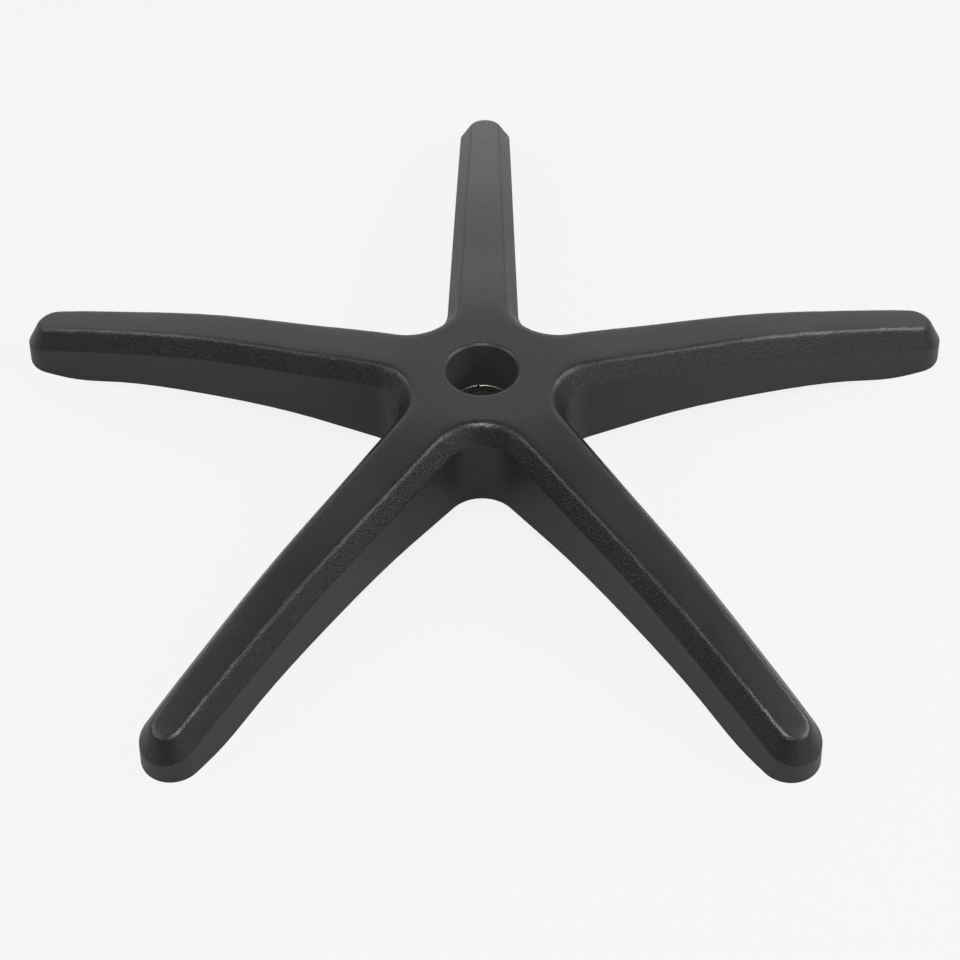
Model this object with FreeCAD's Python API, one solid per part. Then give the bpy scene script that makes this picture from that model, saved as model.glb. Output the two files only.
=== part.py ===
import FreeCAD
import Part
import math
import os

from FreeCAD import Vector

# Sizes in millimetres, heights measured from the floor plane under the arm ends.

# Plan of the star at the floor plane
arm_count = 5
reach = 350.9
tip_half_width = 20.4
root_half_width = 28.0
root_station = 70.0
web_radius = 23.5
wall_draft = 2.6

# Arch of the arms: top line and lower edge from the hub to the arm end
hub_flat_radius = 49.0
hub_height = 82.5
top_at_quarter = 75.1
top_at_half = 65.5
top_at_three_quarters = 49.1
tip_height = 27.6
tip_fall = 0.39
hub_edge_height = 20.3
edge_at_quarter = 23.6
edge_at_half = 19.9
edge_at_three_quarters = 8.2
foot_radius = 322.5

# Sloped shoulder between the flat top and the lower wall
shoulder_inset = 8.3
shoulder_drop = 13.2
ridge_round = 5.5

# Hollow underside
side_wall = 5.5
roof_wall = 9.0
rib = 3.0
rib_recess = 6.0
rib_bays = 5
hub_tube_wall = 6.0
boss_radius = 9.5

# Column seat in the hub
bore_radius = 24.55
mouth_chamfer = 1.5
lead_depth = 10.0
seat_taper = 1 / 20

# Split ring low in the bore
ring_top_depth = 38.5
ring_height = 6.5
ring_inner_radius = 23.6
ring_thickness = 2.0
ring_edge = 0.6
ring_split = 1.4
ring_split_angle = 97.0
ring_radial_clearance = 0.05
ring_axial_clearance = 0.2

# Caster sockets
socket_radius = 5.5
socket_depth = 24.0
socket_lead = 1.0

AXIS = Vector(0, 0, 1)
CENTRE = Vector(0, 0, 0)
first_arm_angle = 90.0
arm_pitch = 360.0 / arm_count
below_floor = -30.0
above_hub = hub_height + 30.0


def at_angle(x, y, z):
    a = math.radians(first_arm_angle)
    return Vector(x * math.cos(a) - y * math.sin(a), x * math.sin(a) + y * math.cos(a), z)


# One arm's plan: the drafted walls move inwards with height and with the inset
def arm_plan(height, inset):
    shift = -inset - height * math.tan(math.radians(wall_draft))
    slope = (root_half_width - tip_half_width) / (reach - tip_half_width - root_station)
    length = math.hypot(1, slope)
    normal = (slope / length, 1 / length)
    offset = (root_half_width + slope * root_station) / length
    tip_centre = (reach - offset) / (1 - normal[0])
    tip_radius = reach - tip_centre + shift
    half = math.pi / arm_count
    spread = (offset + web_radius) / (normal[0] * math.cos(half) + normal[1] * math.sin(half))
    web = (spread * math.cos(half), spread * math.sin(half))
    fillet = web_radius - shift
    notch = spread - fillet
    return {
        "tip_centre": tip_centre,
        "web_centre": web,
        "notch": (notch * math.cos(half), notch * math.sin(half)),
        "root": (web[0] - fillet * normal[0], web[1] - fillet * normal[1]),
        "end": (tip_centre + tip_radius * normal[0], tip_radius * normal[1]),
        "tip_sweep": 2 * math.degrees(math.atan2(normal[1], normal[0])),
    }


def tip_axis_radius():
    return arm_plan(0, 0)["tip_centre"]


# Drafted block of one arm with its share of the hub, between the two neighbouring web centres
def arm_block(inset):
    levels = ((below_floor, arm_plan(below_floor, inset)), (above_hub, arm_plan(above_hub, inset)))

    def corner(name, side, level):
        height, plan = levels[level]
        x, y = plan[name]
        return at_angle(x, side * y, height)

    def wall(first, second):
        loop = [corner(*first, 0), corner(*second, 0), corner(*second, 1), corner(*first, 1)]
        return Part.Face(Part.makePolygon(loop + loop[:1]))

    def round_wall(start, centre, sweep):
        line = Part.makeLine(corner(*start, 0), corner(*start, 1))
        return line.revolve(at_angle(centre[0], centre[1], 0), AXIS, sweep)

    plan = levels[0][1]
    web_x, web_y = plan["web_centre"]
    web_sweep = (plan["tip_sweep"] - arm_pitch) / 2
    faces = [
        wall(("root", -1), ("end", -1)),
        round_wall(("end", -1), (plan["tip_centre"], 0), plan["tip_sweep"]),
        wall(("end", 1), ("root", 1)),
        round_wall(("root", 1), (web_x, web_y), -web_sweep),
        round_wall(("root", -1), (web_x, -web_y), web_sweep),
    ]
    for side in (-1, 1):
        low = corner("notch", side, 0)
        high = corner("notch", side, 1)
        loop = [Vector(0, 0, below_floor), low, high, Vector(0, 0, above_hub)]
        faces.append(Part.Face(Part.makePolygon(loop + loop[:1])))
    for level in (below_floor, above_hub):
        rim = [e for f in faces for e in f.Edges if all(abs(v.Z - level) < 1e-6 for v in e.Vertexes)]
        faces.append(Part.Face(Part.Wire(Part.__sortEdges__(rim))))
    shell = Part.Shell(faces)
    shell.sewShape()
    return Part.Solid(shell)


def spline(points, start, end):
    curve = Part.BSplineCurve()
    curve.interpolate(Points=points, InitialTangent=start, FinalTangent=end)
    return curve.toShape()


def stations(heights):
    run = reach - hub_flat_radius
    quarter = [hub_flat_radius + run * step / 4 for step in range(5)]
    return [Vector(r, 0, z) for r, z in zip(quarter, heights)]


# Side view of the space between an arch line and a level far above or below it
def arch_side(edges, first, last, level):
    far_first = Vector(first.x, 0, level)
    far_last = Vector(last.x, 0, level)
    loop = edges + [Part.makeLine(last, far_last), Part.makeLine(far_last, far_first), Part.makeLine(far_first, first)]
    return Part.Face(Part.Wire(loop))


# The top is round about the hub, the roof and the lower edge run straight across the arm
def turned(side_view):
    space = side_view.revolve(CENTRE, AXIS, arm_pitch + 40)
    space.rotate(CENTRE, AXIS, first_arm_angle - arm_pitch / 2 - 20)
    return space


def across(side_view):
    space = side_view.extrude(Vector(0, 2 * reach, 0))
    space.translate(Vector(0, -reach, 0))
    space.rotate(CENTRE, AXIS, first_arm_angle)
    return space


def side_above_top(lowered):
    heights = (hub_height, top_at_quarter, top_at_half, top_at_three_quarters, tip_height)
    points = stations([z - lowered for z in heights])
    step = (reach - hub_flat_radius) / 4
    first = Vector(0, 0, hub_height - lowered)
    beyond = 30.0
    last = Vector(reach + beyond, 0, tip_height - lowered - beyond * tip_fall)
    line = spline(points, Vector(step, 0, 0), Vector(step, 0, -step * tip_fall))
    edges = [Part.makeLine(first, points[0]), line, Part.makeLine(points[-1], last)]
    return arch_side(edges, first, last, above_hub + 60)


def side_under_edge():
    points = stations((hub_edge_height, edge_at_quarter, edge_at_half, edge_at_three_quarters))
    points.append(Vector(foot_radius, 0, 0))
    step = (reach - hub_flat_radius) / 4
    first = Vector(0, 0, hub_edge_height)
    last = Vector(reach + 30, 0, 0)
    line = spline(points, Vector(step, 0, 0), Vector(foot_radius - points[3].x, 0, 0))
    edges = [Part.makeLine(first, points[0]), line, Part.makeLine(points[-1], last)]
    return arch_side(edges, first, last, below_floor - 30)


# The arched face of an arm and the edges along its sides and end
def crown(solid):
    faces = [f for f in solid.Faces if f.Surface.TypeId == "Part::GeomSurfaceOfRevolution"]
    top = max(faces, key=lambda f: (f.CenterOfMass.z > tip_height, f.Area))
    edges = []
    for edge in top.Edges:
        middle = edge.valueAt((edge.FirstParameter + edge.LastParameter) / 2)
        turn = math.degrees(math.atan2(middle.y, middle.x)) - first_arm_angle
        if abs(abs(turn) - arm_pitch / 2) > 0.05 and math.hypot(middle.x, middle.y) > hub_flat_radius + 0.5:
            edges.append(edge)
    return top, edges


def shouldered(solid):
    top, edges = crown(solid)
    rest = [f for f in solid.Faces if not f.isSame(top)]
    ordered = Part.Solid(Part.Shell([top] + rest))
    return ordered.makeChamfer(shoulder_inset, shoulder_drop, crown(ordered)[1]).Solids[0]


def arm_skin():
    body = arm_block(0).cut(turned(side_above_top(0))).Solids[0]
    body = shouldered(body)
    body = body.makeFillet(ridge_round, crown(body)[1]).Solids[0]
    return body.cut(across(side_under_edge())).Solids[0]


# Hollow inside an arm, under a roof that is thick enough to carry the shoulders
def arm_core():
    return arm_block(side_wall).cut(across(side_above_top(roof_wall)))


# Height of the arm's lower edge at a distance from the hub, taken straight from station to station
def edge_height(distance):
    heights = (hub_edge_height, edge_at_quarter, edge_at_half, edge_at_three_quarters, 0.0)
    along = 4 * (distance - hub_flat_radius) / (reach - hub_flat_radius)
    step = min(max(int(along), 0), 3)
    part = max(along - step, 0.0)
    return heights[step] + (heights[step + 1] - heights[step]) * part


# Upright rib with a level foot, drawn back from the lower edge
def rib_plate(start, end):
    dx, dy = end[0] - start[0], end[1] - start[1]
    length = math.hypot(dx, dy)
    nx, ny = -dy / length * rib / 2, dx / length * rib / 2
    corners = [(start[0] + nx, start[1] + ny), (end[0] + nx, end[1] + ny)]
    corners += [(end[0] - nx, end[1] - ny), (start[0] - nx, start[1] - ny)]
    foot = max(edge_height(math.hypot(*start)), edge_height(math.hypot(*end))) + rib_recess
    loop = [at_angle(x, y, foot) for x, y in corners]
    return Part.Face(Part.makePolygon(loop + loop[:1])).extrude(Vector(0, 0, above_hub - foot))


def upright(radius, x):
    return Part.makeCylinder(radius, above_hub - below_floor, at_angle(x, 0, below_floor), AXIS)


def hub_tube_radius():
    return bore_radius + hub_tube_wall


# Ribs of one arm: a zigzag along the arm, a spine into the hub, and half ribs to the webs
def arm_ribs():
    plan = arm_plan(0, 0)
    notch = math.hypot(*plan["notch"])
    stop = tip_axis_radius() - boss_radius
    pitch = (stop - notch) / rib_bays
    pieces = [rib_plate((0, 0), (notch + pitch / 2, 0))]
    for side in (-1, 1):
        pieces.append(rib_plate((0, 0), (plan["notch"][0], side * plan["notch"][1])))
        pieces.append(rib_plate((tip_axis_radius(), 0), (tip_axis_radius(), side * tip_half_width)))
    for bay in range(rib_bays):
        side = 1 if bay % 2 else -1
        near = notch + bay * pitch
        far = near + pitch
        pieces.append(rib_plate((near, side * wall_middle(near)), (far, -side * wall_middle(far))))
    return pieces[0].multiFuse(pieces[1:])


# Distance of a side wall's middle from the arm's middle plane, where the ribs run into the walls
def wall_middle(x):
    slope = (root_half_width - tip_half_width) / (reach - tip_half_width - root_station)
    return root_half_width - slope * (x - root_station) - side_wall / 2


def arm_sector():
    core = arm_core()
    standing = arm_ribs().fuse([upright(hub_tube_radius(), 0), upright(boss_radius, tip_axis_radius())])
    return arm_skin().cut(core.cut(standing))


def taper_radius(height):
    return bore_radius - (hub_height - mouth_chamfer - lead_depth - height) * seat_taper / 2


def ring_seat_floor():
    return hub_height - ring_top_depth - ring_height


def ring_outer_radius():
    return ring_inner_radius + ring_thickness


def column_bore():
    top = hub_height
    over = top + 5
    under = below_floor
    wall_top = top - mouth_chamfer
    lead_end = wall_top - lead_depth
    groove = ring_outer_radius() + ring_radial_clearance
    groove_floor = ring_seat_floor()
    groove_top = groove_floor + ring_height + ring_axial_clearance
    mouth = bore_radius + mouth_chamfer
    section = [
        (bore_radius, wall_top),
        (bore_radius, lead_end),
        (taper_radius(groove_top), groove_top),
        (groove, groove_top),
        (groove, groove_floor),
        (taper_radius(groove_floor), groove_floor),
        (taper_radius(under), under),
        (0, under),
        (0, over),
        (mouth, over),
        (mouth, top),
    ]
    points = [Vector(r, 0, z) for r, z in section]
    return Part.Face(Part.makePolygon(points + points[:1])).revolve(CENTRE, AXIS, 360)


def caster_socket():
    foot = at_angle(tip_axis_radius(), 0, 0)
    hole = Part.makeCylinder(socket_radius, socket_depth - below_floor, foot + Vector(0, 0, below_floor), AXIS)
    lead = Part.makeCone(socket_radius + socket_lead, socket_radius, socket_lead, foot, AXIS)
    return hole.fuse(lead)


def around(shape):
    copies = []
    for index in range(arm_count):
        copy = shape.copy()
        copy.rotate(CENTRE, AXIS, index * arm_pitch)
        copies.append(copy)
    return copies


def base_moulding():
    sectors = around(arm_sector())
    star = sectors[0].multiFuse(sectors[1:]).removeSplitter()
    return star.cut([column_bore()] + around(caster_socket())).Solids[0]


# Rolled strip, open at its split, with broken inner edges
def hub_ring():
    low = ring_seat_floor()
    high = low + ring_height
    outer = ring_outer_radius()
    section = [
        (ring_inner_radius, low + ring_edge),
        (ring_inner_radius + ring_edge, low),
        (outer, low),
        (outer, high),
        (ring_inner_radius + ring_edge, high),
        (ring_inner_radius, high - ring_edge),
    ]
    points = [Vector(r, 0, z) for r, z in section]
    hoop = Part.Face(Part.makePolygon(points + points[:1])).revolve(CENTRE, AXIS, 360)
    gap = Part.makeBox(outer + 5, ring_split, ring_height + 2, Vector(0, -ring_split / 2, low - 1))
    gap.rotate(CENTRE, AXIS, ring_split_angle)
    return hoop.cut(gap).Solids[0]


os.makedirs("parts", exist_ok=True)
for name, shape in (("base_moulding", base_moulding()), ("hub_ring", hub_ring())):
    shape.translate(Vector(0, 0, mouth_chamfer - hub_height))
    shape.exportStep("parts/" + name + ".step")
    print(name, shape.isValid(), len(shape.Solids), round(shape.Volume), len(shape.Faces))
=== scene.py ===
import math

import bmesh
import bpy
from mathutils import Matrix, Vector


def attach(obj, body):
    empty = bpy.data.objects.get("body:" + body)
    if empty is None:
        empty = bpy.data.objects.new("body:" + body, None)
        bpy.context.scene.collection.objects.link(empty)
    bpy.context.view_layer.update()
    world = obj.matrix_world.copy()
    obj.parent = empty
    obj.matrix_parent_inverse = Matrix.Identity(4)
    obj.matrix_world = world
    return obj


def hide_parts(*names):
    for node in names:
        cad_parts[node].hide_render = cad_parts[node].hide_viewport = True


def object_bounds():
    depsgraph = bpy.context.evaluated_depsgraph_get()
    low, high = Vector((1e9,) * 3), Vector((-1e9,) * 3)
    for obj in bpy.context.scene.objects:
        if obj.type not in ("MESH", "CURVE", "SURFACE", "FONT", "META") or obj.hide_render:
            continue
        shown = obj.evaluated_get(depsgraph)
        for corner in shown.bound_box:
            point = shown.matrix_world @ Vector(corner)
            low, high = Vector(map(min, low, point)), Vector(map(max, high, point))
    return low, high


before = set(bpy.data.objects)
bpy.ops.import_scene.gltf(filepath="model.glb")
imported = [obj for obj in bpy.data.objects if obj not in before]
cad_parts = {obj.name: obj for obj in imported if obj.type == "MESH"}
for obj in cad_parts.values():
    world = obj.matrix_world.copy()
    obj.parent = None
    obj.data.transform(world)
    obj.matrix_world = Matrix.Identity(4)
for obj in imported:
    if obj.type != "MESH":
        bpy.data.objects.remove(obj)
cad_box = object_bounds()

scene = bpy.context.scene
scene.view_settings.view_transform = "Standard"

# Star moulding: one injection moulding in black glass-filled nylon, with hub, arms and ribs in one.
# Tops and shoulders carry the spark-eroded grain of the tool. The drafted walls and the underside were drawn
# straight out of the tool and are smoother. The column seat is the same black nylon painted lighter,
# as painted light that falls into the bore.


class Shade:
    """A shader socket that takes part in arithmetic; node() makes any other node."""

    def __init__(self, tree, socket):
        self.tree = tree
        self.socket = socket

    def feed(self, socket, value):
        if isinstance(value, Shade):
            self.tree.links.new(value.socket, socket)
        else:
            socket.default_value = value

    def node(self, kind, settings=None, sockets=None, output=0):
        made = self.tree.nodes.new(kind)
        for name, value in (settings or {}).items():
            setattr(made, name, value)
        for name, value in (sockets or {}).items():
            self.feed(made.inputs[name], value)
        return Shade(self.tree, made.outputs[output])

    def math(self, operation, first, second):
        return self.node("ShaderNodeMath", {"operation": operation}, {0: first, 1: second})

    def __add__(self, other):
        return self.math("ADD", self, other)

    def __radd__(self, other):
        return self.math("ADD", other, self)

    def __sub__(self, other):
        return self.math("SUBTRACT", self, other)

    def __rsub__(self, other):
        return self.math("SUBTRACT", other, self)

    def __mul__(self, other):
        return self.math("MULTIPLY", self, other)

    def __rmul__(self, other):
        return self.math("MULTIPLY", other, self)

    def ramp(self, low, high):
        return self.node("ShaderNodeMapRange", {"clamp": True, "interpolation_type": "SMOOTHSTEP"},
                         {"Value": self, "From Min": low, "From Max": high})


def new_finish(name):
    material = bpy.data.materials.new(name)
    material.use_nodes = True
    tree = material.node_tree
    start = Shade(tree, None)
    return material, tree.nodes["Principled BSDF"], start, start.node("ShaderNodeTexCoord", output="Object")


def tint(start, factor, dark, light):
    """A colour between dark and light; a Mix node has its colours on sockets 6 and 7 and on output 2."""
    return start.node("ShaderNodeMix", {"data_type": "RGBA"},
                      {0: factor, 6: (*dark, 1), 7: (*light, 1)}, output=2)


def nylon_finish(name, grain_size, grain_depth, level_share, glint, dark, light, roughness, edge_radius):
    """Moulded nylon; level_share is how much of the grain's depth is left where the surface is level."""
    material, shader, start, place = new_finish(name)
    cells = start.node("ShaderNodeTexVoronoi", {"feature": "SMOOTH_F1"},
                       {"Vector": place, "Scale": 1 / grain_size, "Smoothness": 0.5, "Randomness": 1.0})
    pits = start.node("ShaderNodeTexNoise", {},
                      {"Vector": place, "Scale": 1 / grain_size, "Detail": 2.0, "Roughness": 0.6})
    broad = start.node("ShaderNodeTexNoise", {}, {"Vector": place, "Scale": 16.0, "Detail": 4.0})
    height = (1 - cells) * 0.5 + pits * 0.5
    crest = height.ramp(0.5, 0.72)
    facing = start.node("ShaderNodeNewGeometry", output="Normal")
    slope = 1 - start.node("ShaderNodeSeparateXYZ", {}, {0: facing}, output="Z").ramp(0.5, 0.92)
    relief = height * (level_share + slope * (1 - level_share))
    rounded = start.node("ShaderNodeBevel", {"samples": 6}, {"Radius": edge_radius})
    bump = start.node("ShaderNodeBump", {},
                      {"Strength": 1.0, "Distance": grain_depth, "Height": relief, "Normal": rounded})
    # Base colour: a broad random tone, plus the grain crests painted lighter as a painted sparkle highlight.
    start.feed(shader.inputs["Base Color"], tint(start, broad * 0.5 + crest * 0.5, dark, light))
    start.feed(shader.inputs["Roughness"], roughness + (broad - 0.5) * 0.08 - crest * glint)
    start.feed(shader.inputs["Normal"], bump)
    return material


drawn_wall = nylon_finish("nylon_drawn_wall", grain_size=0.0009, grain_depth=0.00004, level_share=1.0,
                          glint=0.03, dark=(0.01, 0.01, 0.0107), light=(0.0155, 0.0155, 0.0165),
                          roughness=0.44, edge_radius=0.001)
coarse_grain = nylon_finish("nylon_coarse_grain", grain_size=0.001, grain_depth=0.00036, level_share=0.27,
                            glint=0.14, dark=(0.0025, 0.0025, 0.0029), light=(0.015, 0.015, 0.016),
                            roughness=0.37, edge_radius=0.0025)
# The column seat's lighter colours are painted light on the bore's inner wall.
column_seat = nylon_finish("nylon_column_seat", grain_size=0.0012, grain_depth=0.00012, level_share=1.0,
                           glint=0.05, dark=(0.028, 0.028, 0.029), light=(0.055, 0.055, 0.056),
                           roughness=0.5, edge_radius=0.0006)
wall_slot, grain_slot, seat_slot = range(3)
mouth_radius = 0.0262
crease_rise = 0.2
sharp_angle = math.radians(24)
weld_distance = 0.00002

moulding = bpy.data.objects.new("star_moulding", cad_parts["base_moulding"].data.copy())
scene.collection.objects.link(moulding)
moulding.data.materials.clear()
for finish in (drawn_wall, coarse_grain, column_seat):
    moulding.data.materials.append(finish)
shape = bmesh.new()
shape.from_mesh(moulding.data)
bmesh.ops.remove_doubles(shape, verts=shape.verts, dist=weld_distance)
shape.normal_update()
for face in shape.faces:
    face.smooth = True
    middle = face.calc_center_median()
    in_bore = math.hypot(middle.x, middle.y) < mouth_radius
    rises = face.normal.z > crease_rise
    if rises and not in_bore:
        face.material_index = grain_slot
    elif in_bore and not rises:
        face.material_index = seat_slot
    else:
        face.material_index = wall_slot
for edge in shape.edges:
    edge.smooth = len(edge.link_faces) == 2 and edge.calc_face_angle(0.0) < sharp_angle
shape.to_mesh(moulding.data)
shape.free()
shading = moulding.modifiers.new("even_shading", "WEIGHTED_NORMAL")
shading.mode = "FACE_AREA_WITH_ANGLE"
shading.keep_sharp = True
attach(moulding, "root")
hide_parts("base_moulding")

# Hub ring: a strip of spring steel rolled to a hoop, open at its split, snapped into a groove in the bore.
# It is bare mill-finished steel with a thin dull oil film, brushed round the hoop by the rollers.
material, shader, start, place = new_finish("ring_steel")
rolled = start.node("ShaderNodeMapping", {}, {"Vector": place, "Scale": (1.0, 1.0, 30.0)})
streak = start.node("ShaderNodeTexNoise", {}, {"Vector": rolled, "Scale": 60.0, "Detail": 5.0})
film = start.node("ShaderNodeTexNoise", {}, {"Vector": place, "Scale": 90.0, "Detail": 3.0})
oiled, bare = (0.16, 0.155, 0.13), (0.42, 0.41, 0.37)
brushing = start.node("ShaderNodeBump", {}, {"Strength": 0.4, "Distance": 0.00003, "Height": streak})
start.feed(shader.inputs["Base Color"], tint(start, streak * 0.6 + film * 0.4, oiled, bare))
start.feed(shader.inputs["Roughness"], 0.28 + streak * 0.22)
start.feed(shader.inputs["Normal"], brushing)
shader.inputs["Metallic"].default_value = 1.0
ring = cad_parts["hub_ring"]
ring.data.materials.clear()
ring.data.materials.append(material)

# Studio floor: a pale seamless sheet under the arm ends, near-white to the camera.
# A small share of its own shading is left in, so that it keeps a faint shadow under the arms.
floor_gap = 0.0002
floor_half = 6.0
paper_white = (0.935, 0.935, 0.935, 1)
paper_share = 0.93
sheet = bmesh.new()
bmesh.ops.create_grid(sheet, x_segments=1, y_segments=1, size=floor_half)
bmesh.ops.translate(sheet, verts=sheet.verts, vec=(0, 0, cad_box[0][2] - floor_gap))
floor_mesh = bpy.data.meshes.new("studio_floor")
sheet.to_mesh(floor_mesh)
sheet.free()
floor = bpy.data.objects.new("studio_floor", floor_mesh)
scene.collection.objects.link(floor)
material, shader, start, place = new_finish("studio_floor")
shader.inputs["Base Color"].default_value = (0.5, 0.5, 0.5, 1)
shader.inputs["Roughness"].default_value = 0.9
shader.inputs["Specular IOR Level"].default_value = 0.1
seen = start.node("ShaderNodeLightPath", output="Is Camera Ray")
glow = start.node("ShaderNodeEmission", {}, {"Color": paper_white, "Strength": 1.0})
lit = Shade(start.tree, shader.outputs[0])
paper = start.node("ShaderNodeMixShader", {}, {0: seen * paper_share, 1: lit, 2: glow})
start.feed(start.tree.nodes["Material Output"].inputs["Surface"], paper)
floor_mesh.materials.append(material)

# Studio light: a bright sweep behind the base, a window low at the front right and a dim ceiling,
# with a softbox over the front and a long strip on each side that draws the line along the ridges.
room_glow, sweep_glow, window_glow, ceiling_glow = 0.07, 1.3, 1.1, 0.05
world = bpy.data.worlds.new("studio")
scene.world = world
world.use_nodes = True
start = Shade(world.node_tree, None)
sky = start.node("ShaderNodeTexCoord", output="Generated")
side, back, up = (start.node("ShaderNodeSeparateXYZ", {}, {0: sky}, output=axis) for axis in "XYZ")
sweep = back.ramp(-0.1, 0.35) * (1 - up.ramp(0.56, 0.98)) * (1 - (side * side).ramp(0.02, 0.4) * 0.55)
window = side.ramp(0.15, 0.6) * (0 - back).ramp(0.2, 0.8) * (1 - up.ramp(0.3, 0.7))
ceiling = up.ramp(0.5, 1.0)
level = room_glow + sweep * sweep_glow + window * window_glow + ceiling * ceiling_glow
seen = start.node("ShaderNodeLightPath", output="Is Camera Ray")
studio = start.node("ShaderNodeBackground", {}, {"Color": level, "Strength": 1.0})
paper = start.node("ShaderNodeBackground", {}, {"Color": paper_white, "Strength": 1.0})
mixed = start.node("ShaderNodeMixShader", {}, {0: seen, 1: studio, 2: paper})
start.feed(start.tree.nodes["World Output"].inputs["Surface"], mixed)


def softbox(name, place, size, power):
    lamp = bpy.data.lights.new(name, "AREA")
    lamp.shape = "RECTANGLE"
    lamp.size, lamp.size_y = size
    lamp.energy = power
    holder = bpy.data.objects.new(name, lamp)
    scene.collection.objects.link(holder)
    holder.location = place
    holder.rotation_euler = (-Vector(place)).to_track_quat("-Z", "Y").to_euler()


softbox("front_overhead", (0.0, -0.95, 1.72), (0.8, 0.4), 27.0)
softbox("left_strip", (-1.66, -0.05, 1.26), (1.9, 0.5), 16.0)
softbox("right_strip", (1.66, 0.05, 1.26), (1.9, 0.5), 29.0)

# Camera: it stands in front of the base and looks down on it at a little over 46 degrees.
# Its station, turn and focal length come from a fit to the outline of the arms and the hub hole.
frame_width = 960
focal_pixels = 2362.88
station = Vector((0.0, -1.1686, 1.2006))
pitch, pan, roll, yaw = (math.radians(angle) for angle in (46.4271, 0.1109, -0.6492, -0.7367))
panned = Matrix.Rotation(pan, 3, "Z")
forward = panned @ Vector((0, math.cos(pitch), -math.sin(pitch)))
level_right = panned @ Vector((1, 0, 0))
level_up = level_right.cross(forward)
right = level_right * math.cos(roll) + level_up * math.sin(roll)
upward = level_up * math.cos(roll) - level_right * math.sin(roll)
turn = Matrix.Rotation(-yaw, 3, "Z")
axes = Matrix((turn @ right, turn @ upward, turn @ -forward)).transposed()
lens = bpy.data.cameras.new("camera")
lens.sensor_fit = "HORIZONTAL"
lens.sensor_width = 36.0
lens.lens = lens.sensor_width * focal_pixels / frame_width
camera = bpy.data.objects.new("camera", lens)
scene.collection.objects.link(camera)
camera.matrix_world = Matrix.Translation(turn @ station + Vector((0, 0, cad_box[0][2]))) @ axes.to_4x4()
scene.camera = camera
